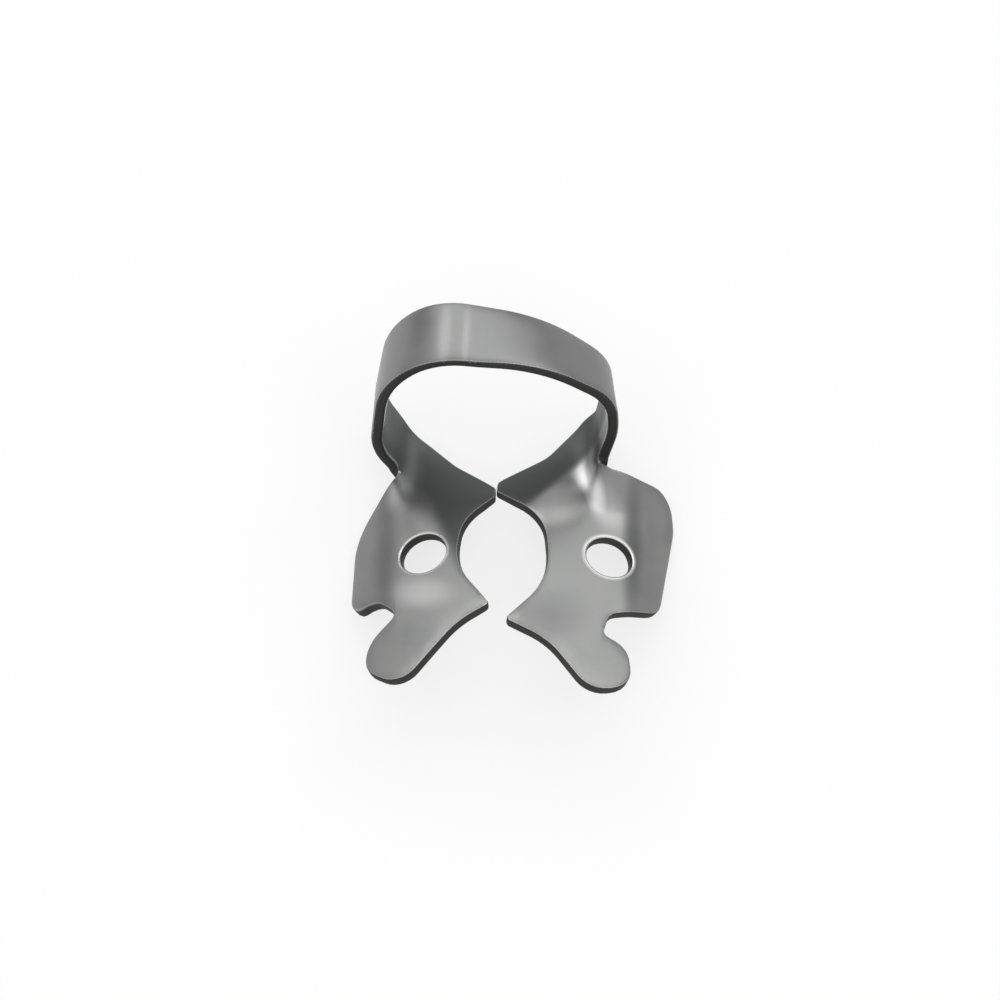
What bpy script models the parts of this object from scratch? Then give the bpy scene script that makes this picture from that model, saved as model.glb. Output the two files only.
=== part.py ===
# Rubber dam clamp: one blank of spring steel sheet, pierced, folded and bent into a bow over two jaws.
# The blank is laid out flat, then every point of it is carried through the same bends, so the sheet
# keeps one thickness from the jaw tips over the bow. Lengths in metres, +Z up, the bow at the back (+Y).
import bpy
import bmesh
import math
import numpy as np
from mathutils import Vector
from mathutils.geometry import delaunay_2d_cdt

MM = 0.001

# sheet
SHEET_THICKNESS = 0.92 * MM
EDGE_RADIUS = 0.2 * MM
MERGE_THRESHOLD = 0.00001

# bow strip, measured across it, from the middle of the jaw opening towards the back
STRIP_FRONT = 3.0 * MM
STRIP_WIDTH = 5.18 * MM
CROWN_FRONT = 2.76 * MM

# front view of the bow's inner face: corner positions and bend radii
BOW_HEIGHT = 11.94 * MM
LEFT_ROOT_X = 7.48 * MM
LEFT_WAIST_X = 9.43 * MM
LEFT_WAIST_Z = 0.88 * MM
LEFT_WAIST_RADIUS = 5.0 * MM
LEFT_SHOULDER_X = 8.73 * MM
LEFT_SHOULDER_Z = BOW_HEIGHT - 3.5 * MM
LEFT_SHOULDER_RADIUS = 6.75 * MM
CROWN_LEFT_X = 5.2 * MM
CROWN_LEFT_Z = BOW_HEIGHT
CROWN_LEFT_RADIUS = 6.0 * MM
CROWN_RIGHT_X = 3.16 * MM
CROWN_RIGHT_Z = BOW_HEIGHT - 0.92 * MM
CROWN_RIGHT_RADIUS = 11.86 * MM
RIGHT_SHOULDER_X = 8.38 * MM
RIGHT_SHOULDER_Z = BOW_HEIGHT - 4.95 * MM
RIGHT_SHOULDER_RADIUS = 4.5 * MM
RIGHT_WAIST_X = 8.44 * MM
RIGHT_WAIST_Z = 3.29 * MM
RIGHT_WAIST_RADIUS = 8.0 * MM
RIGHT_ROOT_X = 7.16 * MM
ROOT_BEND_RADIUS = 1.6 * MM
BACK_EDGE_NARROWING = 0.079
BACK_EDGE_ROLL = 0.127
ROLL_START_Z = -1.0 * MM
ROLL_LENGTH = 5.0 * MM
BLEND_LENGTH = 4.2 * MM
NOTCH_EASE = 0.7 * MM
NOTCH_RUNOUT = 0.35 * MM
NOTCH_CUT_LENGTH = 1.2 * MM
NORMAL_REACH = 1.0 * MM

# slopes away from the opening: of each arm, of the dished plates at the prongs and at the fold, of the wings
LEFT_ARM_SLOPE = math.radians(17.0)
RIGHT_ARM_SLOPE = math.radians(14.0)
PRONG_SLOPE = math.radians(10.0)
LEFT_PLATE_SLOPE = math.radians(22.0)
RIGHT_PLATE_SLOPE = math.radians(18.5)
LEFT_WING_SLOPE = math.radians(42.0)
RIGHT_WING_SLOPE = math.radians(34.0)
LEFT_FOLD_U = 9.32 * MM
RIGHT_FOLD_U = 10.96 * MM
FOLD_LENGTH = 1.8 * MM
LEFT_FOLD_END_V = -11.2 * MM
RIGHT_FOLD_END_V = -12.6 * MM
FOLD_RUNOUT = 2.2 * MM

# forceps holes
HOLE_DIAMETER = 3.72 * MM
LEFT_HOLE_U = 6.16 * MM
LEFT_HOLE_V = -5.53 * MM
RIGHT_HOLE_U = 8.97 * MM
RIGHT_HOLE_V = -5.24 * MM

# outline of the left jaw on the flat blank: U outwards from the opening, V towards the back
WING_REACH = 13.0 * MM
LEFT_NOTCH_U = 8.03 * MM
LEFT_NOTCH_RADIUS = 0.4 * MM
LEFT_WING_REAR_U = WING_REACH - 0.35 * MM
LEFT_WING_REAR_V = -1.7 * MM
LEFT_WING_REAR_RADIUS = 5.54 * MM
LEFT_WING_FRONT_U = WING_REACH
LEFT_WING_FRONT_V = -9.06 * MM
LEFT_WING_FRONT_RADIUS = 1.4 * MM
LEFT_GAP_TOP_U = LEFT_WING_FRONT_U - 2.59 * MM
LEFT_GAP_TOP_V = -8.88 * MM
LEFT_GAP_TOP_RADIUS = 2.86 * MM
LEFT_GAP_ROOT_U = LEFT_GAP_TOP_U - 2.21 * MM
LEFT_GAP_ROOT_V = -10.95 * MM
LEFT_GAP_ROOT_RADIUS = 0.72 * MM
LEFT_FINGER_OUTER_U = 10.61 * MM
LEFT_FINGER_OUTER_V = -13.3 * MM
LEFT_FINGER_TIP_U = 10.96 * MM
LEFT_FINGER_TIP_V = -15.92 * MM
LEFT_FINGER_INNER_U = 7.78 * MM
LEFT_FINGER_INNER_V = -18.24 * MM
LEFT_THROAT_U = 3.23 * MM
LEFT_THROAT_V = -12.87 * MM
LEFT_THROAT_RADIUS = 7.28 * MM
LEFT_PRONG_U = 0.58 * MM
LEFT_PRONG_V = -11.39 * MM
LEFT_PRONG_RADIUS = 0.32 * MM
LEFT_OPENING_LOW_U = 3.52 * MM
LEFT_OPENING_LOW_V = -7.06 * MM
LEFT_OPENING_LOW_RADIUS = 5.82 * MM
LEFT_OPENING_HIGH_U = 3.01 * MM
LEFT_OPENING_HIGH_V = -2.8 * MM
LEFT_OPENING_HIGH_RADIUS = 4.52 * MM
LEFT_BACK_PRONG_U = 0.35 * MM
LEFT_BACK_PRONG_V = 0.03 * MM
LEFT_ARM_MID_U = 3.8 * MM
LEFT_ARM_MID_V = 3.03 * MM
LEFT_ARM_BACK_U = 8.42 * MM
LEFT_ARM_BACK_RADIUS = 1.39 * MM

# outline of the right jaw
RIGHT_NOTCH_U = 8.1 * MM
RIGHT_NOTCH_RADIUS = 0.15 * MM
RIGHT_WING_ROOT_U = 9.86 * MM
RIGHT_WING_ROOT_V = 2.2 * MM
RIGHT_WING_ROOT_RADIUS = 1.2 * MM
RIGHT_WING_REAR_U = WING_REACH + 2.1 * MM
RIGHT_WING_REAR_V = 1.92 * MM
RIGHT_WING_REAR_RADIUS = 1.28 * MM
RIGHT_WING_FRONT_U = WING_REACH + 0.54 * MM
RIGHT_WING_FRONT_V = -9.31 * MM
RIGHT_WING_FRONT_RADIUS = 1.63 * MM
RIGHT_GAP_TOP_U = RIGHT_WING_FRONT_U - 4.44 * MM
RIGHT_GAP_TOP_V = -10.8 * MM
RIGHT_GAP_TOP_RADIUS = 1.21 * MM
RIGHT_GAP_ROOT_U = RIGHT_GAP_TOP_U - 0.51 * MM
RIGHT_GAP_ROOT_V = -12.89 * MM
RIGHT_GAP_ROOT_RADIUS = 0.63 * MM
RIGHT_FINGER_OUTER_U = 10.68 * MM
RIGHT_FINGER_OUTER_V = -13.86 * MM
RIGHT_FINGER_TIP_U = 11.19 * MM
RIGHT_FINGER_TIP_V = -17.48 * MM
RIGHT_FINGER_INNER_U = 7.61 * MM
RIGHT_FINGER_INNER_V = -18.72 * MM
RIGHT_THROAT_U = 4.15 * MM
RIGHT_THROAT_V = -14.38 * MM
RIGHT_THROAT_RADIUS = 5.99 * MM
RIGHT_PRONG_U = 0.59 * MM
RIGHT_PRONG_V = -12.89 * MM
RIGHT_PRONG_RADIUS = 0.4 * MM
RIGHT_OPENING_LOW_U = 4.24 * MM
RIGHT_OPENING_LOW_V = -8.28 * MM
RIGHT_OPENING_LOW_RADIUS = 7.49 * MM
RIGHT_OPENING_HIGH_U = 3.62 * MM
RIGHT_OPENING_HIGH_V = -2.15 * MM
RIGHT_OPENING_HIGH_RADIUS = 4.65 * MM
RIGHT_BACK_PRONG_U = -0.3 * MM
RIGHT_BACK_PRONG_V = 0.44 * MM
RIGHT_ARM_MID_U = 3.83 * MM
RIGHT_ARM_MID_V = 3.8 * MM
RIGHT_ARM_BACK_U = 6.94 * MM
RIGHT_ARM_BACK_RADIUS = 1.41 * MM

# outline sizes that both jaws share
FINGER_OUTER_RADIUS = 4.19 * MM
FINGER_TIP_RADIUS = 2.3 * MM
BACK_PRONG_WIDTH = 0.9 * MM
BACK_PRONG_RADIUS = 0.24 * MM
PRONG_CUT_LENGTH = 1.6 * MM
ARM_MID_RADIUS = 6.0 * MM

# facet sizes
LINE_STEP = 0.02 * MM
SHORTEST_LEG = 0.06 * MM
PLATE_MARGIN = 2.0 * MM
RIM_STEP = 0.5 * MM
BEND_STEP = 0.3 * MM
BEND_REACH = 1.7 * MM
GRID_ALONG = 0.55 * MM
GRID_ACROSS = 0.8 * MM
HOLE_SEGMENTS = 32
EDGE_STEPS = 2

LEFT = -1
RIGHT = 1
PLATE_SLOPE = {LEFT: LEFT_PLATE_SLOPE, RIGHT: RIGHT_PLATE_SLOPE}
WING_SLOPE = {LEFT: LEFT_WING_SLOPE, RIGHT: RIGHT_WING_SLOPE}
FOLD_U = {LEFT: LEFT_FOLD_U, RIGHT: RIGHT_FOLD_U}
FOLD_END_V = {LEFT: LEFT_FOLD_END_V, RIGHT: RIGHT_FOLD_END_V}
NOTCH_U = {LEFT: LEFT_NOTCH_U, RIGHT: RIGHT_NOTCH_U}
STRIP_BACK = STRIP_FRONT + STRIP_WIDTH


def smooth(t):
    t = np.clip(t, 0.0, 1.0)
    return t * t * (3.0 - 2.0 * t)


def rounded(corners, chord):
    """An open line through corners (x, y, radius), each corner turned by an arc that fits its two legs."""
    pts = [np.array(corners[0][:2], float)]
    for i in range(1, len(corners) - 1):
        p = np.array(corners[i][:2], float)
        a = np.array(corners[i - 1][:2], float) - p
        b = np.array(corners[i + 1][:2], float) - p
        la = np.linalg.norm(a)
        lb = np.linalg.norm(b)
        a = a / la
        b = b / lb
        half = 0.5 * math.acos(max(-1.0, min(1.0, float(a @ b))))
        reach = min(corners[i][2] / math.tan(half), 0.49 * la, 0.49 * lb)
        radius = reach * math.tan(half)
        centre = p + (a + b) / np.linalg.norm(a + b) * radius / math.sin(half)
        start = p + a * reach - centre
        end = p + b * reach - centre
        a0 = math.atan2(start[1], start[0])
        turn = (math.atan2(end[1], end[0]) - a0 + math.pi) % (2.0 * math.pi) - math.pi
        steps = max(2, int(math.ceil(abs(turn) * radius / chord)), int(math.ceil(abs(turn) / 0.45)))
        for k in range(steps + 1):
            angle = a0 + turn * k / steps
            pts.append(centre + radius * np.array([math.cos(angle), math.sin(angle)]))
    pts.append(np.array(corners[-1][:2], float))
    return np.array(pts)


def lengths(line):
    return np.concatenate([[0.0], np.cumsum(np.linalg.norm(np.diff(line, axis=0), axis=1))])


def step_at(side, u, v):
    """Facet length along the sheet: short in the tight bend at the root of each arm."""
    at_bend = abs(u - NOTCH_U[side]) < BEND_REACH and v > STRIP_FRONT - BLEND_LENGTH
    return BEND_STEP if at_bend else RIM_STEP


def even(side, line):
    """The same line of blank points (u, v) with points added so that no leg is longer than its step."""
    out = []
    for a, b in zip(line[:-1], line[1:]):
        fine = max(1, int(math.ceil(np.linalg.norm(b - a) / BEND_STEP)))
        legs = [a + (b - a) * k / fine for k in range(fine + 1)]
        last = legs[0]
        out.append(last)
        for p in legs[1:-1]:
            step = step_at(side, *p)
            if np.linalg.norm(p - last) > 0.75 * step and np.linalg.norm(b - p) > 0.5 * step:
                out.append(p)
                last = p
    out.append(line[-1])
    return np.array(out)


def bow_corners(narrowing, roll):
    corners = [
        [-LEFT_WAIST_X, LEFT_WAIST_Z, LEFT_WAIST_RADIUS],
        [-LEFT_SHOULDER_X, LEFT_SHOULDER_Z, LEFT_SHOULDER_RADIUS],
        [-CROWN_LEFT_X, CROWN_LEFT_Z, CROWN_LEFT_RADIUS],
        [CROWN_RIGHT_X, CROWN_RIGHT_Z, CROWN_RIGHT_RADIUS],
        [RIGHT_SHOULDER_X, RIGHT_SHOULDER_Z, RIGHT_SHOULDER_RADIUS],
        [RIGHT_WAIST_X, RIGHT_WAIST_Z, RIGHT_WAIST_RADIUS],
    ]
    out = [[0.0, 0.0, 0.0], [-LEFT_ROOT_X, -LEFT_ROOT_X * math.tan(LEFT_ARM_SLOPE), ROOT_BEND_RADIUS]]
    for x, z, radius in corners:
        up = float(smooth((z - ROLL_START_Z) / ROLL_LENGTH))
        out.append([x * (1.0 - narrowing * up), z - roll * x * up, radius])
    out.append([RIGHT_ROOT_X, -RIGHT_ROOT_X * math.tan(RIGHT_ARM_SLOPE), ROOT_BEND_RADIUS])
    out.append([0.0, 0.0, 0.0])
    return out


FRONT_LINE = rounded(bow_corners(0.0, 0.0), LINE_STEP)
BACK_LINE = rounded(bow_corners(BACK_EDGE_NARROWING, BACK_EDGE_ROLL), LINE_STEP)
FRONT_S = lengths(FRONT_LINE)
BACK_S = lengths(BACK_LINE)
HALF_LENGTH = 0.5 * FRONT_S[-1]


def plate_line(side, folded):
    """Front view of a dished jaw plate, with its side wing folded or flat: places along the sheet, x and z."""
    before = int(PLATE_MARGIN / LINE_STEP)
    u = (np.arange(int(HALF_LENGTH / LINE_STEP) + 2 * before) - before) * LINE_STEP
    slope = PRONG_SLOPE + (PLATE_SLOPE[side] - PRONG_SLOPE) * np.clip(u / FOLD_U[side], 0.0, 1.0)
    if folded:
        f = smooth((u - FOLD_U[side] + 0.5 * FOLD_LENGTH) / FOLD_LENGTH)
        slope = slope + (WING_SLOPE[side] - slope) * f
    x = np.cumsum(np.cos(slope) * LINE_STEP)
    z = np.cumsum(-np.sin(slope) * LINE_STEP)
    return u, x - x[before], z - z[before]


FOLDED = {LEFT: plate_line(LEFT, True), RIGHT: plate_line(RIGHT, True)}
FLAT = {LEFT: plate_line(LEFT, False), RIGHT: plate_line(RIGHT, False)}


def on_strip(side, u, v):
    s = np.where(side < 0, u, FRONT_S[-1] - u)
    fx = np.interp(s, FRONT_S, FRONT_LINE[:, 0])
    fz = np.interp(s, FRONT_S, FRONT_LINE[:, 1])
    s = s * BACK_S[-1] / FRONT_S[-1]
    bx = np.interp(s, BACK_S, BACK_LINE[:, 0])
    bz = np.interp(s, BACK_S, BACK_LINE[:, 1])
    k = np.clip((v - STRIP_FRONT) / STRIP_WIDTH, -0.1, 1.0)
    return fx + (bx - fx) * k, fz + (bz - fz) * k


def on_jaw(side, u, v):
    g = smooth((v - FOLD_END_V[side]) / FOLD_RUNOUT)
    x, z = (np.interp(u, FLAT[side][0], FLAT[side][k]) for k in (1, 2))
    bent_x, bent_z = (np.interp(u, FOLDED[side][0], FOLDED[side][k]) for k in (1, 2))
    return side * (x + (bent_x - x) * g), z + (bent_z - z) * g


def front_edge(side, u):
    """How far forward the strip reaches: it is a little wider over the crown than at the notch."""
    up = np.clip((u - NOTCH_U[side]) / (HALF_LENGTH - NOTCH_U[side]), 0.0, 1.0)
    return STRIP_FRONT + (CROWN_FRONT - STRIP_FRONT) * up


def bend(side, u, v, root_u):
    """Inner face of the sheet at blank points (u, v); root_u is where each one sits on the arm's curve."""
    jx, jz = on_jaw(side, u, v)
    sx, sz = on_strip(side, root_u, v)
    rx, rz = on_jaw(side, root_u, v)
    lift = smooth((v - front_edge(side, root_u) + BLEND_LENGTH) / BLEND_LENGTH)
    return np.stack([jx + (sx - rx) * lift, v, jz + (sz - rz) * lift], axis=-1)


def wing_root(side, u):
    """The wing leaves the arm's curve at the notch, so it goes no further up the curve than there."""
    past = u - NOTCH_U[side] - NOTCH_EASE
    eased = past - (past + 2.0 * NOTCH_EASE) ** 2 / (8.0 * NOTCH_EASE)
    eased = np.where(past < -2.0 * NOTCH_EASE, past, np.where(past > 2.0 * NOTCH_EASE, 0.0, eased))
    return NOTCH_U[side] + NOTCH_EASE + eased


def face_at(side, u, v, on_arm):
    """Points and unit normals of the inner face, following the arm's curve or leaving it at the notch."""
    h = NORMAL_REACH
    root = (lambda x: x) if on_arm else (lambda x: wing_root(side, x))
    ahead = np.maximum(v, front_edge(side, u)) + h if on_arm else v
    at = bend(side, u, v, root(u))
    du = bend(side, u + h, v, root(u + h)) - bend(side, u - h, v, root(u - h))
    dv = bend(side, u, ahead, root(u)) - bend(side, u, ahead - h, root(u))
    n = side * np.cross(du, dv)
    return at, n / np.linalg.norm(n, axis=1)[:, None]


def inner_face(w, v):
    """Points and unit normals of the inner face at blank positions w along the sheet, v across it."""
    at = np.zeros((len(w), 3))
    normal = np.zeros((len(w), 3))
    for side in (LEFT, RIGHT):
        m = (w < 0.0) if side == LEFT else (w >= 0.0)
        u = HALF_LENGTH - np.abs(w[m])
        arm, arm_n = face_at(side, u, v[m], True)
        wing, wing_n = face_at(side, u, v[m], False)
        near_slit = smooth((v[m] - STRIP_FRONT) / NOTCH_CUT_LENGTH + 1.0)
        near_slit *= smooth((u - NOTCH_U[side]) / NOTCH_CUT_LENGTH + 1.0)
        wing_n[:, 1] *= 1.0 - near_slit
        k = smooth((v[m] - front_edge(side, u)) / NOTCH_RUNOUT + 1.0)[:, None]
        at[m] = wing + (arm - wing) * k
        normal[m] = wing_n + (arm_n - wing_n) * k
        square = (1.0 - smooth(u / PRONG_CUT_LENGTH))[:, None]
        normal[m] += (np.array([0.0, 0.0, 1.0]) - normal[m]) * square
    return at, normal / np.linalg.norm(normal, axis=1)[:, None]


def blank_outline():
    """Closed outline of the flat blank, running along the front of the strip, round each jaw and back."""
    left = [
        (LEFT_NOTCH_U, STRIP_FRONT, LEFT_NOTCH_RADIUS),
        (LEFT_WING_REAR_U, LEFT_WING_REAR_V, LEFT_WING_REAR_RADIUS),
        (LEFT_WING_FRONT_U, LEFT_WING_FRONT_V, LEFT_WING_FRONT_RADIUS),
        (LEFT_GAP_TOP_U, LEFT_GAP_TOP_V, LEFT_GAP_TOP_RADIUS),
        (LEFT_GAP_ROOT_U, LEFT_GAP_ROOT_V, LEFT_GAP_ROOT_RADIUS),
        (LEFT_FINGER_OUTER_U, LEFT_FINGER_OUTER_V, FINGER_OUTER_RADIUS),
        (LEFT_FINGER_TIP_U, LEFT_FINGER_TIP_V, FINGER_TIP_RADIUS),
        (LEFT_FINGER_INNER_U, LEFT_FINGER_INNER_V, FINGER_TIP_RADIUS),
        (LEFT_THROAT_U, LEFT_THROAT_V, LEFT_THROAT_RADIUS),
        (LEFT_PRONG_U, LEFT_PRONG_V, LEFT_PRONG_RADIUS),
        (LEFT_OPENING_LOW_U, LEFT_OPENING_LOW_V, LEFT_OPENING_LOW_RADIUS),
        (LEFT_OPENING_HIGH_U, LEFT_OPENING_HIGH_V, LEFT_OPENING_HIGH_RADIUS),
        (LEFT_BACK_PRONG_U, LEFT_BACK_PRONG_V - BACK_PRONG_WIDTH, BACK_PRONG_RADIUS),
        (LEFT_BACK_PRONG_U, LEFT_BACK_PRONG_V, BACK_PRONG_RADIUS),
        (LEFT_ARM_MID_U, LEFT_ARM_MID_V, ARM_MID_RADIUS),
        (LEFT_ARM_BACK_U, STRIP_BACK, LEFT_ARM_BACK_RADIUS),
    ]
    right = [
        (RIGHT_NOTCH_U, STRIP_FRONT, RIGHT_NOTCH_RADIUS),
        (RIGHT_WING_ROOT_U, RIGHT_WING_ROOT_V, RIGHT_WING_ROOT_RADIUS),
        (RIGHT_WING_REAR_U, RIGHT_WING_REAR_V, RIGHT_WING_REAR_RADIUS),
        (RIGHT_WING_FRONT_U, RIGHT_WING_FRONT_V, RIGHT_WING_FRONT_RADIUS),
        (RIGHT_GAP_TOP_U, RIGHT_GAP_TOP_V, RIGHT_GAP_TOP_RADIUS),
        (RIGHT_GAP_ROOT_U, RIGHT_GAP_ROOT_V, RIGHT_GAP_ROOT_RADIUS),
        (RIGHT_FINGER_OUTER_U, RIGHT_FINGER_OUTER_V, FINGER_OUTER_RADIUS),
        (RIGHT_FINGER_TIP_U, RIGHT_FINGER_TIP_V, FINGER_TIP_RADIUS),
        (RIGHT_FINGER_INNER_U, RIGHT_FINGER_INNER_V, FINGER_TIP_RADIUS),
        (RIGHT_THROAT_U, RIGHT_THROAT_V, RIGHT_THROAT_RADIUS),
        (RIGHT_PRONG_U, RIGHT_PRONG_V, RIGHT_PRONG_RADIUS),
        (RIGHT_OPENING_LOW_U, RIGHT_OPENING_LOW_V, RIGHT_OPENING_LOW_RADIUS),
        (RIGHT_OPENING_HIGH_U, RIGHT_OPENING_HIGH_V, RIGHT_OPENING_HIGH_RADIUS),
        (RIGHT_BACK_PRONG_U, RIGHT_BACK_PRONG_V - BACK_PRONG_WIDTH, BACK_PRONG_RADIUS),
        (RIGHT_BACK_PRONG_U, RIGHT_BACK_PRONG_V, BACK_PRONG_RADIUS),
        (RIGHT_ARM_MID_U, RIGHT_ARM_MID_V, ARM_MID_RADIUS),
        (RIGHT_ARM_BACK_U, STRIP_BACK, RIGHT_ARM_BACK_RADIUS),
    ]
    lines = []
    for side, corners in ((LEFT, left), (RIGHT, right)):
        ends = [(HALF_LENGTH, CROWN_FRONT, 0.0)] + corners + [(HALF_LENGTH, STRIP_BACK, 0.0)]
        line = even(side, rounded(ends, RIM_STEP))
        line[:, 0] = side * (HALF_LENGTH - line[:, 0])
        lines.append(line)
    loop = np.vstack([lines[0][:-1], lines[1][::-1][:-1]])
    keep = [loop[0]]
    for p in loop[1:]:
        if np.linalg.norm(p - keep[-1]) > SHORTEST_LEG:
            keep.append(p)
    return np.array(keep)


def inward(loop):
    """Unit normals of a closed loop, pointing to the inside of the material."""
    area = 0.5 * np.sum(loop[:, 0] * np.roll(loop[:, 1], -1) - np.roll(loop[:, 0], -1) * loop[:, 1])
    d = np.roll(loop, -1, axis=0) - loop
    d /= np.linalg.norm(d, axis=1)[:, None]
    n = np.stack([-d[:, 1], d[:, 0]], axis=1) * math.copysign(1.0, area)
    both = n + np.roll(n, 1, axis=0)
    both /= np.linalg.norm(both, axis=1)[:, None]
    cosine = np.clip(np.sum(both * n, axis=1), 0.7, 1.0)
    return both / cosine[:, None]


def hole_loop(side, u, v):
    a = np.arange(HOLE_SEGMENTS) * 2.0 * math.pi / HOLE_SEGMENTS
    r = 0.5 * HOLE_DIAMETER
    return np.stack([side * (HALF_LENGTH - u) + r * np.cos(a), v + r * np.sin(a)], axis=1)


def inside(points, loop):
    x = points[:, 0][:, None]
    y = points[:, 1][:, None]
    a = loop
    b = np.roll(loop, -1, axis=0)
    cross = (a[:, 1] > y) != (b[:, 1] > y)
    span = b[:, 1] - a[:, 1]
    span = np.where(np.abs(span) < 1e-15, 1e-15, span)
    at = a[:, 0] + (y - a[:, 1]) * (b[:, 0] - a[:, 0]) / span
    return np.sum(cross & (x < at), axis=1) % 2 == 1


def clearance(points, loop):
    a = loop
    d = np.roll(loop, -1, axis=0) - loop
    t = np.clip(np.sum((points[:, None, :] - a) * d, axis=2) / np.sum(d * d, axis=1), 0.0, 1.0)
    near = a + t[..., None] * d
    return np.min(np.linalg.norm(points[:, None, :] - near, axis=2), axis=1)


def resting_place(xyz, faces):
    """Turn and shift that set the part down as its own weight leaves it, under its box's middle."""
    mass = 0.0
    moment = np.zeros(3)
    for face in faces:
        for k in range(1, len(face) - 1):
            a, b, c = xyz[face[0]], xyz[face[k]], xyz[face[k + 1]]
            volume = float(a @ np.cross(b, c)) / 6.0
            mass += volume
            moment += volume * (a + b + c) / 4.0
    centre = moment / mass

    work = bmesh.new()
    for p in xyz:
        work.verts.new(tuple(p))
    hull = bmesh.ops.convex_hull(work, input=work.verts)
    best = None
    for face in hull["geom"]:
        if not isinstance(face, bmesh.types.BMFace):
            continue
        corners = np.array([v.co[:] for v in face.verts])
        down = np.cross(corners[1] - corners[0], corners[2] - corners[0])
        size = np.linalg.norm(down)
        if size < 1e-14:
            continue
        down /= size
        if (corners[0] - centre) @ down < 0.0:
            down = -down
            corners = corners[::-1]
        held = True
        for a, b in zip(corners, np.roll(corners, -1, axis=0)):
            held = held and np.cross(b - a, centre - a) @ down > 0.0
        if held and (best is None or down[2] < best[2]):
            best = down
    work.free()

    up = -best
    forward = np.array([0.0, 1.0, 0.0]) - up * up[1]
    forward /= np.linalg.norm(forward)
    turn = np.array([np.cross(forward, up), forward, up])
    set_down = xyz @ turn.T
    low = set_down.min(axis=0)
    high = set_down.max(axis=0)
    return turn, -np.array([0.5 * (low[0] + high[0]), 0.5 * (low[1] + high[1]), low[2]])


def build():
    outline = blank_outline()
    holes = [hole_loop(LEFT, LEFT_HOLE_U, LEFT_HOLE_V), hole_loop(RIGHT, RIGHT_HOLE_U, RIGHT_HOLE_V)]
    loops = [outline] + holes
    normals = [inward(outline)] + [-inward(h) for h in holes]

    # edge profile from the inner face round to the outer face: how far in from the cut, how deep
    profile = []
    for k in range(EDGE_STEPS + 1):
        a = 0.5 * math.pi * k / EDGE_STEPS
        profile.append((EDGE_RADIUS * (1.0 - math.sin(a)), EDGE_RADIUS * (1.0 - math.cos(a))))
    for k in range(EDGE_STEPS + 1):
        a = 0.5 * math.pi * (1.0 - k / EDGE_STEPS)
        profile.append((EDGE_RADIUS * (1.0 - math.sin(a)), SHEET_THICKNESS - EDGE_RADIUS * (1.0 - math.cos(a))))

    # faces of the blank between the inset outline and the inset holes, with an even field of points
    rings = [loop + normal * EDGE_RADIUS for loop, normal in zip(loops, normals)]
    field = []
    u = 0.5 * GRID_ALONG
    low_v = outline[:, 1].min()
    while u < HALF_LENGTH:
        near_bend = abs(u - NOTCH_U[LEFT]) < BEND_REACH or abs(u - NOTCH_U[RIGHT]) < BEND_REACH
        for v in np.arange(low_v, STRIP_BACK, GRID_ACROSS):
            field.append((u - HALF_LENGTH, v))
            field.append((HALF_LENGTH - u, v))
        u += BEND_STEP if near_bend else GRID_ALONG
    field = np.array(field)
    ok = inside(field, rings[0]) & (clearance(field, rings[0]) > 0.5 * BEND_STEP)
    for ring in rings[1:]:
        ok &= ~inside(field, ring) & (clearance(field, ring) > 0.5 * BEND_STEP)
    field = field[ok]
    verts2 = [p for ring in rings for p in ring] + list(field)
    edges = []
    base = 0
    for ring in rings:
        n = len(ring)
        edges += [(base + k, base + (k + 1) % n) for k in range(n)]
        base += n
    scale = 1.0 / MM
    flat = [Vector((float(p[0]) * scale, float(p[1]) * scale)) for p in verts2]
    cdt = delaunay_2d_cdt(flat, edges, [], 1, 1e-7)
    cap_pts = np.array([[p.x, p.y] for p in cdt[0]]) / scale
    if len(cap_pts) != len(verts2):
        raise ValueError("the blank outline crosses itself")
    first_hole = len(rings[0])
    cap_faces = []
    for face in cdt[2]:
        spots = [(i - first_hole) // HOLE_SEGMENTS for i in face]
        if spots[0] == spots[1] == spots[2] and 0 <= spots[0] < len(holes):
            continue
        a, b, c = (cap_pts[i] for i in face)
        turn = (b[0] - a[0]) * (c[1] - a[1]) - (b[1] - a[1]) * (c[0] - a[0])
        cap_faces.append(tuple(face) if turn < 0.0 else tuple(face)[::-1])

    count = len(cap_pts)
    points = [cap_pts, cap_pts]
    depths = [np.zeros(count), np.full(count, SHEET_THICKNESS)]
    faces = [tuple(f) for f in cap_faces] + [tuple(count + i for i in f[::-1]) for f in cap_faces]
    total = 2 * count
    base = 0
    for loop, normal in zip(loops, normals):
        n = len(loop)
        rows = [[base + k for k in range(n)]]
        for inset, depth in profile[1:-1]:
            points.append(loop + normal * inset)
            depths.append(np.full(n, depth))
            rows.append([total + k for k in range(n)])
            total += n
        rows.append([count + base + k for k in range(n)])
        area = np.sum(loop[:, 0] * np.roll(loop[:, 1], -1) - np.roll(loop[:, 0], -1) * loop[:, 1])
        hole = base > 0
        forward = (area < 0.0) != hole
        for top, low in zip(rows[:-1], rows[1:]):
            for k in range(n):
                quad = (top[k], low[k], low[(k + 1) % n], top[(k + 1) % n])
                faces.append(quad if forward else quad[::-1])
        base += n

    wv = np.vstack(points)
    depth = np.concatenate(depths)
    at, normal = inner_face(wv[:, 0], wv[:, 1])
    xyz = at - normal * depth[:, None]

    turn, shift = resting_place(xyz, faces)
    xyz = xyz @ turn.T + shift

    mesh = bpy.data.meshes.new("clamp")
    mesh.from_pydata([tuple(p) for p in xyz.tolist()], [], faces)
    mesh.validate()
    mesh.update()
    for polygon in mesh.polygons:
        polygon.use_smooth = True
    return mesh, turn, shift


for old in list(bpy.data.objects):
    bpy.data.objects.remove(old, do_unlink=True)

clamp_mesh, REST_TURN, REST_SHIFT = build()
clamp = bpy.data.objects.new("clamp", clamp_mesh)
bpy.context.scene.collection.objects.link(clamp)

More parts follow.
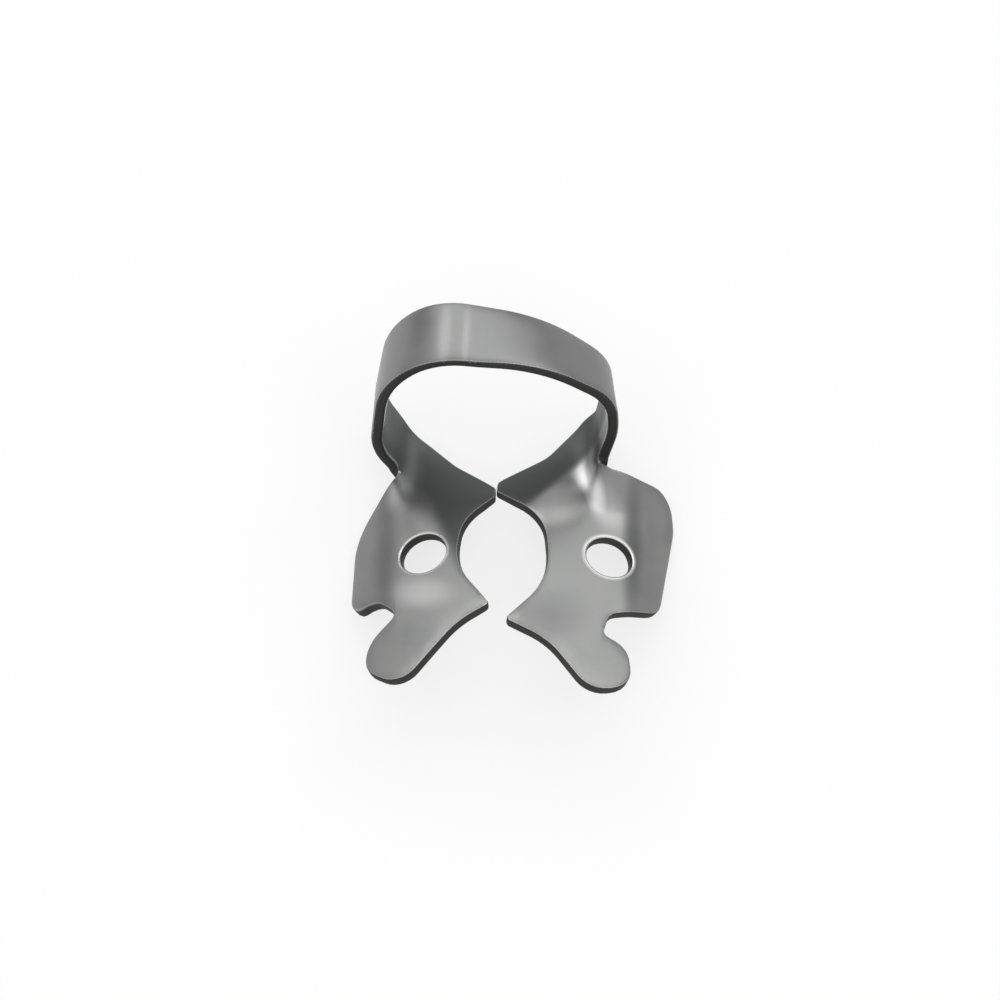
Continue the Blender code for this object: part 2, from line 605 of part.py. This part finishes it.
steel = bpy.data.materials.new("clamp_steel")
steel.use_nodes = True
shader = steel.node_tree.nodes["Principled BSDF"]
shader.inputs["Base Color"].default_value = (0.56, 0.56, 0.55, 1.0)
shader.inputs["Metallic"].default_value = 1.0
shader.inputs["Roughness"].default_value = 0.32
clamp.data.materials.append(steel)
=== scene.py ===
# A rubber dam clamp lying on a white table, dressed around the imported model.
import math
import bmesh
import bpy
from mathutils import Matrix, Vector
from mathutils.kdtree import KDTree


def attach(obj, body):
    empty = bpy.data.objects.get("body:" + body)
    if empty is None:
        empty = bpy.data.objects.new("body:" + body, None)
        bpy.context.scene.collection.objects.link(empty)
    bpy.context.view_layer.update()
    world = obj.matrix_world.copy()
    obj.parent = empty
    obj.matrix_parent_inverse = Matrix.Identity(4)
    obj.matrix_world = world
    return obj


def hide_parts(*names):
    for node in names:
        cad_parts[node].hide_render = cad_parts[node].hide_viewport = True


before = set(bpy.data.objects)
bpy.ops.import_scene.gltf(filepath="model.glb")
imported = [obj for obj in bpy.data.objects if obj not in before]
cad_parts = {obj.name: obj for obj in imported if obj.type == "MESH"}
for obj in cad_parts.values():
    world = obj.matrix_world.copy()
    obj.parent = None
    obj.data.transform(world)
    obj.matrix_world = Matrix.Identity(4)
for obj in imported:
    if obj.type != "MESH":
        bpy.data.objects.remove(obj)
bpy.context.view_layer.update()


# The clamp: one blank of hard stainless spring sheet, pierced, folded and bent into a bow over two jaws.
# It was tumbled, which left a satin face, rounded rims and rough sheared walls. Here its rims are painted
# light, as painted highlights, and its walls painted dark, as painted shade.
# Where its surroundings darken or brighten the real steel, the face is painted darker or lighter here, as
# painted shade and painted highlights.
MM = 0.001
SAME_PLACE = 0.002 * MM
ROUNDS_OF_HALVING = 4
LONGEST_LEG = 0.4 * MM
RIM_LEG = 0.2 * MM
RIM_TURN = math.radians(19.0)

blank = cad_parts["clamp"]
bpy.ops.object.select_all(action="DESELECT")
clamp = blank.copy()
clamp.data = blank.data.copy()
clamp.name = "clamp_body"
clamp.data.name = "clamp_body"
clamp.parent = None
bpy.context.scene.collection.objects.link(clamp)
clamp.select_set(True)
bpy.context.view_layer.objects.active = clamp


def leg(edge):
    """Length of one edge of the clamp's mesh."""
    first, second = edge.vertices
    return (clamp.data.vertices[first].co - clamp.data.vertices[second].co).length


bpy.ops.object.mode_set(mode="EDIT")
bpy.ops.mesh.select_all(action="SELECT")
bpy.ops.mesh.remove_doubles(threshold=SAME_PLACE)
bpy.ops.mesh.subdivide(number_cuts=1, smoothness=0.0)
bpy.ops.mesh.select_mode(type="EDGE")
for turn in range(ROUNDS_OF_HALVING):
    bpy.ops.mesh.select_all(action="DESELECT")
    bpy.ops.object.mode_set(mode="OBJECT")
    for edge in clamp.data.edges:
        edge.select = leg(edge) > LONGEST_LEG
    bpy.ops.object.mode_set(mode="EDIT")
    bpy.ops.mesh.subdivide(number_cuts=1, smoothness=0.0)
# edges that run from a rim out over the sheet are halved once more, so that the painted rim highlight ends
# cleanly there
bpy.ops.mesh.select_all(action="DESELECT")
bpy.ops.mesh.edges_select_sharp(sharpness=RIM_TURN)
bpy.ops.object.mode_set(mode="OBJECT")
at_turn = {number for edge in clamp.data.edges if edge.select for number in edge.vertices}
for edge in clamp.data.edges:
    first, second = edge.vertices
    edge.select = (first in at_turn) != (second in at_turn) and leg(edge) > RIM_LEG
bpy.ops.object.mode_set(mode="EDIT")
bpy.ops.mesh.subdivide(number_cuts=1, smoothness=0.0)
bpy.ops.mesh.select_all(action="SELECT")
bpy.ops.mesh.quads_convert_to_tris()
bpy.ops.object.mode_set(mode="OBJECT")
bpy.ops.object.shade_smooth()

# the sheet's two faces are found, and their normals evened out until the facets no longer show
ROUNDS_OF_EVENING = 30


def patches(shape):
    """Each face's patch, in which no two neighbours turn as a rim's facets do, and every patch's area."""
    patch = [-1] * len(shape.faces)
    sizes = []
    for first in shape.faces:
        if patch[first.index] >= 0:
            continue
        waiting = [first]
        patch[first.index] = len(sizes)
        area = 0.0
        while waiting:
            face = waiting.pop()
            area += face.calc_area()
            for edge in face.edges:
                if edge.calc_face_angle(math.pi) > RIM_TURN:
                    continue
                for other in edge.link_faces:
                    if patch[other.index] < 0:
                        patch[other.index] = len(sizes)
                        waiting.append(other)
        sizes.append(area)
    return patch, sizes


def even_normals(faces):
    """Normals of one sheet face's corners, evened out over their neighbours."""
    inside = set(faces)
    normals = {}
    for face in faces:
        for corner in face.verts:
            normals[corner] = normals.get(corner, Vector()) + face.normal * face.calc_area()
    near = {}
    for corner in normals:
        edges = [edge for edge in corner.link_edges if inside.intersection(edge.link_faces)]
        near[corner] = [edge.other_vert(corner) for edge in edges]
        normals[corner].normalize()
    for turn in range(ROUNDS_OF_EVENING):
        eased = {}
        for corner, normal in normals.items():
            total = normal * len(near[corner])
            for other in near[corner]:
                total += normals[other]
            eased[corner] = total.normalized()
        normals = eased
    return normals


shape = bmesh.new()
shape.from_mesh(clamp.data)
shape.faces.ensure_lookup_table()
patch, sizes = patches(shape)
sheet_faces = sorted(range(len(sizes)), key=lambda number: sizes[number])[-2:]
normals = {}
inner = set()
for number in sheet_faces:
    faces = [face for face in shape.faces if patch[face.index] == number]
    evened = even_normals(faces)
    normals.update(evened)
    upward = sum(face.normal.z * face.calc_area() for face in faces if face.calc_center_median().y < 0.0)
    if upward > 0.0:
        inner = set(evened)

# where the sheet's cut walls and rims are, and where shade and highlights are painted on it: four values at
# each corner, from 0 to 1, with places in mm
JAWS_PART_X = 0.5
MARK_CORE = 0.15
# the value given to sheet corners beside a rim, where a thin painted highlight line runs
RIM_LINE = 0.5
SMALLEST_PATCH = 0.3 * MM * MM
# cosines of the lean from the sheet at which a cut edge is all wall and all rim
LEAN_OF_WALL = 0.55
LEAN_OF_RIM = 0.9
# each mark: strength, centre x and y, direction in degrees, half length and half width
# inside, painted shade and painted highlights on each jaw; outside, painted streaks of reflection along the
# bow's crown
LEFT_PAINTED_SHADE = ((0.45, -10.0, -2.0, 90.0, 7.5, 1.5),)
LEFT_PAINTED_HIGHLIGHTS = (
    (0.26, -7.3, -6.0, -10.0, 3.6, 2.1),
    (0.16, -6.7, 0.5, -60.0, 3.2, 1.5),
    (0.17, -9.4, 4.0, 70.0, 2.8, 1.0),
)
RIGHT_PAINTED_SHADE = (
    (0.8, 9.4, -1.2, 90.0, 9.0, 1.1),
    (0.3, 2.6, -8.8, 35.0, 5.0, 3.5),
)
RIGHT_PAINTED_HIGHLIGHTS = (
    (0.86, 5.95, 4.3, -66.0, 3.6, 1.3),
    (0.95, 3.4, 2.4, 40.0, 3.4, 2.3),
    (0.18, 7.3, 2.4, -66.0, 3.4, 1.8),
)
BOW_PAINTED_REFLECTIONS = (
    (0.2, -5.8, 11.6, 88.0, 4.5, 0.8),
    (0.16, -4.1, 11.6, 88.0, 4.5, 0.45),
)
# inside, shade is painted on the arms behind these straight lines, each given by x and y of a place on it
# and a slope
LEFT_STEEP_LINE = (-4.94, -2.0, -2.47)
LEFT_SHALLOW_LINE = (-6.56, 2.0, -1.09)
LEFT_FRONT_Y = -3.0
LEFT_REAR_Y = 5.3
LEFT_FADE = (-1.5, 1.8)
RIGHT_LINE = (0.0, 0.55, 1.12)
RIGHT_FADE = (-0.2, 1.0)
# outside, shade is painted on the bow's crown, growing darker from left to right, and on lower parts that
# face forward
CROWN_HEIGHTS = (6.0, 9.5)
CROWN_PAINTED_SHADE = 0.1
CROWN_MIDDLE_MORE_SHADE = 0.11
CROWN_MIDDLE_FADE = (-9.5, -6.5)
CROWN_RIGHT_MORE_SHADE = 0.14
CROWN_RIGHT_FADE = (2.0, 7.0)
FLANK_PAINTED_SHADE = 0.6
FLANK_FADE = (-0.15, 0.25)
FORWARD_FACING = Vector((0.0, -0.917, -0.398))


def ramp(value, start, end):
    """A smooth rise from 0 at the start to 1 at the end."""
    t = max(0.0, min(1.0, (value - start) / (end - start)))
    return t * t * (3.0 - 2.0 * t)


def strongest(x, y, marks):
    """Strength at a place of the strongest of some oval marks, each fading from its core to its edge."""
    found = 0.0
    for strength, middle_x, middle_y, along, half_length, half_width in marks:
        c = math.cos(math.radians(along))
        s = math.sin(math.radians(along))
        dx = x - middle_x
        dy = y - middle_y
        far = math.hypot((dx * c + dy * s) / half_length, (dy * c - dx * s) / half_width)
        found = max(found, strength * (1.0 - ramp(far, MARK_CORE, 1.0)))
    return found


def line_y(x, line):
    """The y at which a straight line passes x."""
    place_x, place_y, slope = line
    return place_y + slope * (x - place_x)


sheet_corners = list(normals)
nearest = KDTree(len(sheet_corners))
for number, corner in enumerate(sheet_corners):
    nearest.insert(corner.co, number)
nearest.balance()
cut_wall = []
rim = []
painted_shade = []
painted_highlight = []
for corner in shape.verts:
    x, y, z = corner.co / MM
    on_cut = 0.0 if corner in normals else 1.0
    at_rim = 0.0
    if corner in normals:
        beside = [patch[face.index] for face in corner.link_faces]
        at_rim = RIM_LINE * any(k not in sheet_faces and sizes[k] > SMALLEST_PATCH for k in beside)
    sheet_normal = normals[sheet_corners[nearest.find(corner.co)[1]]]
    lean = abs(corner.normal.dot(sheet_normal))
    wall = on_cut * (1.0 - ramp(lean, LEAN_OF_WALL, LEAN_OF_RIM))
    cut_wall.append(wall)
    rim.append(max(at_rim, on_cut * (1.0 - wall)))
    # inside the clamp: painted shade behind the lines and in its marks, and painted highlights where it is
    # not shaded
    if corner in inner and x < JAWS_PART_X:
        front = min(line_y(x, LEFT_STEEP_LINE), line_y(x, LEFT_SHALLOW_LINE))
        front = min(LEFT_REAR_Y, max(LEFT_FRONT_Y, front))
        painted_shade_here = max(ramp(y - front, *LEFT_FADE), strongest(x, y, LEFT_PAINTED_SHADE))
        painted_highlight_here = strongest(x, y, LEFT_PAINTED_HIGHLIGHTS)
    elif corner in inner:
        painted_shade_here = max(ramp(y - line_y(x, RIGHT_LINE), *RIGHT_FADE), strongest(x, y, RIGHT_PAINTED_SHADE))
        painted_highlight_here = strongest(x, y, RIGHT_PAINTED_HIGHLIGHTS)
    else:
        # outside: painted shade on the crown and on forward-facing lower parts, and painted reflections on
        # the crown
        high = ramp(z, *CROWN_HEIGHTS)
        crown = CROWN_PAINTED_SHADE
        crown += CROWN_MIDDLE_MORE_SHADE * ramp(x, *CROWN_MIDDLE_FADE)
        crown += CROWN_RIGHT_MORE_SHADE * ramp(x, *CROWN_RIGHT_FADE)
        flank = FLANK_PAINTED_SHADE * ramp(corner.normal.dot(FORWARD_FACING), *FLANK_FADE)
        painted_shade_here = high * crown + (1.0 - high) * flank
        painted_highlight_here = high * strongest(x, y, BOW_PAINTED_REFLECTIONS)
    painted_shade.append(painted_shade_here)
    painted_highlight.append(painted_highlight_here * (1.0 - painted_shade_here))
clamp.data.normals_split_custom_set_from_vertices([normals.get(v, v.normal) for v in shape.verts])
shape.free()
for name, values in (("cut_wall", cut_wall), ("rim", rim), ("painted_shade", painted_shade), ("painted_highlight", painted_highlight)):
    layer = clamp.data.attributes.new(name, "FLOAT", "POINT")
    layer.data.foreach_set("value", values)

# one steel throughout: its colour and roughness follow those values, so that shade and highlights are
# painted into its colour, with a painted highlight ring round the right hole
FACE_DARK = (0.235, 0.24, 0.236, 1.0)
FACE_LIGHT = (0.285, 0.288, 0.283, 1.0)
# the colour of the painted highlights and of the painted ring
PAINTED_HIGHLIGHT_STEEL = (0.86, 0.86, 0.855, 1.0)
# the colour of the painted shade
PAINTED_SHADE_STEEL = (0.112, 0.115, 0.114, 1.0)
# the colour of the painted highlight on rounded rims
RIM_PAINTED_HIGHLIGHT_STEEL = (0.66, 0.66, 0.65, 1.0)
# the colour of the cut walls, painted dark as shade; their rougher sheared finish is real
CUT_WALL_PAINTED_SHADE_STEEL = (0.07, 0.07, 0.069, 1.0)
CLOUD_SCALE = 260.0
CLOUD_DETAIL = 3.0
CLOUD_SPREAD = (0.3, 0.7)
GRAIN_SCALE = 9000.0
GRAIN_DETAIL = 2.0
GRAIN_STRETCH = (1.0, 0.18, 1.0)
# the painted highlight ring round the right hole
RIGHT_HOLE = (7.54 * MM, -2.11 * MM, 4.19 * MM)
RING_RADIUS = 2.06 * MM
RING_HALF_WIDTH = 0.24 * MM
RING_STRENGTH = 0.3
FACE_ROUGHNESS = (0.34, 0.42)
GRAIN_ROUGHNESS = 0.03
CUT_ROUGHER = 0.2
PAINTED_SHADE_ROUGHER = 0.14
RIM_SMOOTHER = 0.12
BUMP_STRENGTH = 0.12
BUMP_DEPTH = 0.01 * MM
# the places, among a Mix node's sockets, of the two colours that it mixes and of the mixed one
MIX_COLOURS = (6, 7)
MIXED_COLOUR = 2

steel = bpy.data.materials.new("spring_steel_with_painted_light")
steel.use_nodes = True
nodes = steel.node_tree.nodes
links = steel.node_tree.links
shader = nodes["Principled BSDF"]
shader.inputs["Metallic"].default_value = 1.0
where = nodes.new("ShaderNodeTexCoord")


def steel_noise(scale, detail, stretch):
    place = nodes.new("ShaderNodeMapping")
    place.inputs["Scale"].default_value = stretch
    links.new(where.outputs["Object"], place.inputs["Vector"])
    noise = nodes.new("ShaderNodeTexNoise")
    noise.inputs["Scale"].default_value = scale
    noise.inputs["Detail"].default_value = detail
    links.new(place.outputs["Vector"], noise.inputs["Vector"])
    return noise.outputs["Fac"]


def steel_range(value, low, high, from_low=0.0, from_high=1.0):
    change = nodes.new("ShaderNodeMapRange")
    change.inputs["From Min"].default_value = from_low
    change.inputs["From Max"].default_value = from_high
    change.inputs["To Min"].default_value = low
    change.inputs["To Max"].default_value = high
    links.new(value, change.inputs["Value"])
    return change.outputs["Result"]


def steel_mark(name):
    mark = nodes.new("ShaderNodeAttribute")
    mark.attribute_name = name
    return mark.outputs["Fac"]


def steel_colour(amount, first, second):
    mix = nodes.new("ShaderNodeMix")
    mix.data_type = "RGBA"
    links.new(amount, mix.inputs["Factor"])
    for slot, value in zip(MIX_COLOURS, (first, second)):
        if isinstance(value, tuple):
            mix.inputs[slot].default_value = value
        else:
            links.new(value, mix.inputs[slot])
    return mix.outputs[MIXED_COLOUR]


def steel_sum(kind, first, second):
    maths = nodes.new("ShaderNodeMath")
    maths.operation = kind
    for slot, value in ((0, first), (1, second)):
        if isinstance(value, float):
            maths.inputs[slot].default_value = value
        else:
            links.new(value, maths.inputs[slot])
    return maths.outputs["Value"]


def painted_highlight_ring(centre):
    """A painted highlight ring round a hole, at one distance from its centre and fading to both sides."""
    far = nodes.new("ShaderNodeVectorMath")
    far.operation = "DISTANCE"
    far.inputs[1].default_value = centre
    links.new(where.outputs["Object"], far.inputs[0])
    gap = steel_sum("SUBTRACT", far.outputs["Value"], RING_RADIUS)
    squared = steel_sum("MULTIPLY", gap, gap)
    return steel_range(squared, RING_STRENGTH, 0.0, 0.0, RING_HALF_WIDTH * RING_HALF_WIDTH)


clouds = steel_noise(CLOUD_SCALE, CLOUD_DETAIL, (1.0, 1.0, 1.0))
grain = steel_noise(GRAIN_SCALE, GRAIN_DETAIL, GRAIN_STRETCH)
colour = steel_colour(steel_range(clouds, 0.0, 1.0, *CLOUD_SPREAD), FACE_DARK, FACE_LIGHT)
# over the face: painted highlights, painted shade, the painted ring, painted rim highlights and the walls
# painted dark
for amount, finish in (
    (steel_mark("painted_highlight"), PAINTED_HIGHLIGHT_STEEL),
    (steel_mark("painted_shade"), PAINTED_SHADE_STEEL),
    (painted_highlight_ring(RIGHT_HOLE), PAINTED_HIGHLIGHT_STEEL),
    (steel_mark("rim"), RIM_PAINTED_HIGHLIGHT_STEEL),
    (steel_mark("cut_wall"), CUT_WALL_PAINTED_SHADE_STEEL),
):
    colour = steel_colour(amount, colour, finish)
links.new(colour, shader.inputs["Base Color"])
rough = steel_range(clouds, *FACE_ROUGHNESS, *CLOUD_SPREAD)
rough = steel_sum("ADD", rough, steel_range(grain, -GRAIN_ROUGHNESS, GRAIN_ROUGHNESS))
for name, change in (("cut_wall", CUT_ROUGHER), ("painted_shade", PAINTED_SHADE_ROUGHER), ("rim", -RIM_SMOOTHER)):
    rough = steel_sum("ADD", rough, steel_range(steel_mark(name), 0.0, change))
links.new(rough, shader.inputs["Roughness"])
bump = nodes.new("ShaderNodeBump")
bump.inputs["Strength"].default_value = BUMP_STRENGTH
bump.inputs["Distance"].default_value = BUMP_DEPTH
links.new(grain, bump.inputs["Height"])
links.new(bump.outputs["Normal"], shader.inputs["Normal"])
clamp.data.materials.clear()
clamp.data.materials.append(steel)

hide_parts("clamp")
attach(clamp, "root")


# The table: a plain white sheet, far wider than the view. It looks white to the camera and in the steel,
# and keeps the clamp's soft shadow.
TABLE_WIDTH = 6.0
PAPER = (0.93, 0.93, 0.93, 1.0)
PAPER_ROUGHNESS = 0.9
SEEN_WHITE = (1.0, 1.0, 1.0, 1.0)
SEEN_SHARE = 0.75

bpy.ops.object.select_all(action="DESELECT")
bpy.ops.mesh.primitive_plane_add(size=TABLE_WIDTH, location=(0.0, 0.0, 0.0))
table = bpy.context.object
table.name = "table"
paper = bpy.data.materials.new("white_paper")
paper.use_nodes = True
paper_nodes = paper.node_tree.nodes
paper_links = paper.node_tree.links
paper_face = paper_nodes["Principled BSDF"]
paper_face.inputs["Base Color"].default_value = PAPER
paper_face.inputs["Roughness"].default_value = PAPER_ROUGHNESS
paper_face.inputs["Specular IOR Level"].default_value = 0.0
rays = paper_nodes.new("ShaderNodeLightPath")
seen = rays.outputs["Is Camera Ray"]
for kind in ("Is Glossy Ray", "Is Transmission Ray"):
    either = paper_nodes.new("ShaderNodeMath")
    either.operation = "MAXIMUM"
    paper_links.new(seen, either.inputs[0])
    paper_links.new(rays.outputs[kind], either.inputs[1])
    seen = either.outputs["Value"]
share = paper_nodes.new("ShaderNodeMath")
share.operation = "MULTIPLY"
share.inputs[1].default_value = SEEN_SHARE
paper_links.new(seen, share.inputs[0])
white = paper_nodes.new("ShaderNodeEmission")
white.inputs["Color"].default_value = SEEN_WHITE
white.inputs["Strength"].default_value = 1.0
blend = paper_nodes.new("ShaderNodeMixShader")
paper_links.new(share.outputs["Value"], blend.inputs["Fac"])
paper_links.new(paper_face.outputs["BSDF"], blend.inputs[1])
paper_links.new(white.outputs["Emission"], blend.inputs[2])
paper_links.new(blend.outputs["Shader"], paper_nodes["Material Output"].inputs["Surface"])
table.data.materials.append(paper)


# The light: a pale room, brighter overhead than at the walls, and one wide soft lamp above and behind
# the clamp, turned to face it. The lamp's azimuth is measured clockwise from +Y, seen from above.
WALL = (0.5, 0.5, 0.5, 1.0)
WALL_RISE = 0.05
CEILING = (1.0, 1.0, 1.0, 1.0)
CEILING_RISE = 0.75
LAMP_AZIMUTH = math.radians(5.0)
LAMP_ELEVATION = math.radians(42.0)
LAMP_DISTANCE = 0.5
LAMP_WIDTH = 0.7
LAMP_HEIGHT = 0.25
LAMP_POWER = 0.75

room = bpy.data.worlds.new("room")
bpy.context.scene.world = room
room.use_nodes = True
room_nodes = room.node_tree.nodes
room_links = room.node_tree.links
direction = room_nodes.new("ShaderNodeTexCoord")
split = room_nodes.new("ShaderNodeSeparateXYZ")
room_links.new(direction.outputs["Generated"], split.inputs["Vector"])
rise = room_nodes.new("ShaderNodeValToRGB")
for stop, height, tone in ((0, WALL_RISE, WALL), (1, CEILING_RISE, CEILING)):
    rise.color_ramp.elements[stop].position = height
    rise.color_ramp.elements[stop].color = tone
room_links.new(split.outputs["Z"], rise.inputs["Fac"])
room_links.new(rise.outputs["Color"], room_nodes["Background"].inputs["Color"])
room_nodes["Background"].inputs["Strength"].default_value = 1.0

panel = bpy.data.lights.new("back_lamp", "AREA")
panel.shape = "RECTANGLE"
panel.size = LAMP_WIDTH
panel.size_y = LAMP_HEIGHT
panel.energy = LAMP_POWER
lamp = bpy.data.objects.new("back_lamp", panel)
bpy.context.scene.collection.objects.link(lamp)
towards = Vector((
    math.sin(LAMP_AZIMUTH) * math.cos(LAMP_ELEVATION),
    math.cos(LAMP_AZIMUTH) * math.cos(LAMP_ELEVATION),
    math.sin(LAMP_ELEVATION),
))
turned = towards.to_track_quat("Z", "Y").to_matrix().to_4x4()
lamp.matrix_world = Matrix.Translation(towards * LAMP_DISTANCE) @ turned


# The camera: a long lens, looking down on the clamp from over the finger tips, at the photo's scale.
# Its azimuth is measured from -Y towards +X, and it aims at the place in the middle of the picture.
PHOTO_WIDTH_PX = 1000
PX_PER_MM = 12.7
VIEW_WIDTH = PHOTO_WIDTH_PX / PX_PER_MM * MM
LENS_MM = 800.0
SENSOR_MM = 36.0
VIEW_DISTANCE = VIEW_WIDTH * LENS_MM / SENSOR_MM
FARTHEST_SEEN = 10.0
VIEW_AZIMUTH = math.radians(0.353)
VIEW_ELEVATION = math.radians(67.658)
VIEW_ROLL = math.radians(1.106)
AIM = Vector((-1.128, 2.535, 4.33)) * MM

camera = bpy.data.objects.new("camera", bpy.data.cameras.new("camera"))
bpy.context.scene.collection.objects.link(camera)
camera.data.lens = LENS_MM
camera.data.sensor_width = SENSOR_MM
camera.data.clip_end = FARTHEST_SEEN
back = Vector((
    math.sin(VIEW_AZIMUTH) * math.cos(VIEW_ELEVATION),
    -math.cos(VIEW_AZIMUTH) * math.cos(VIEW_ELEVATION),
    math.sin(VIEW_ELEVATION),
))
level = back.to_track_quat("Z", "Y").to_matrix()
turned = (level @ Matrix.Rotation(VIEW_ROLL, 3, "Z")).to_4x4()
camera.matrix_world = Matrix.Translation(AIM + back * VIEW_DISTANCE) @ turned
bpy.context.scene.camera = camera
bpy.context.scene.view_settings.view_transform = "Standard"
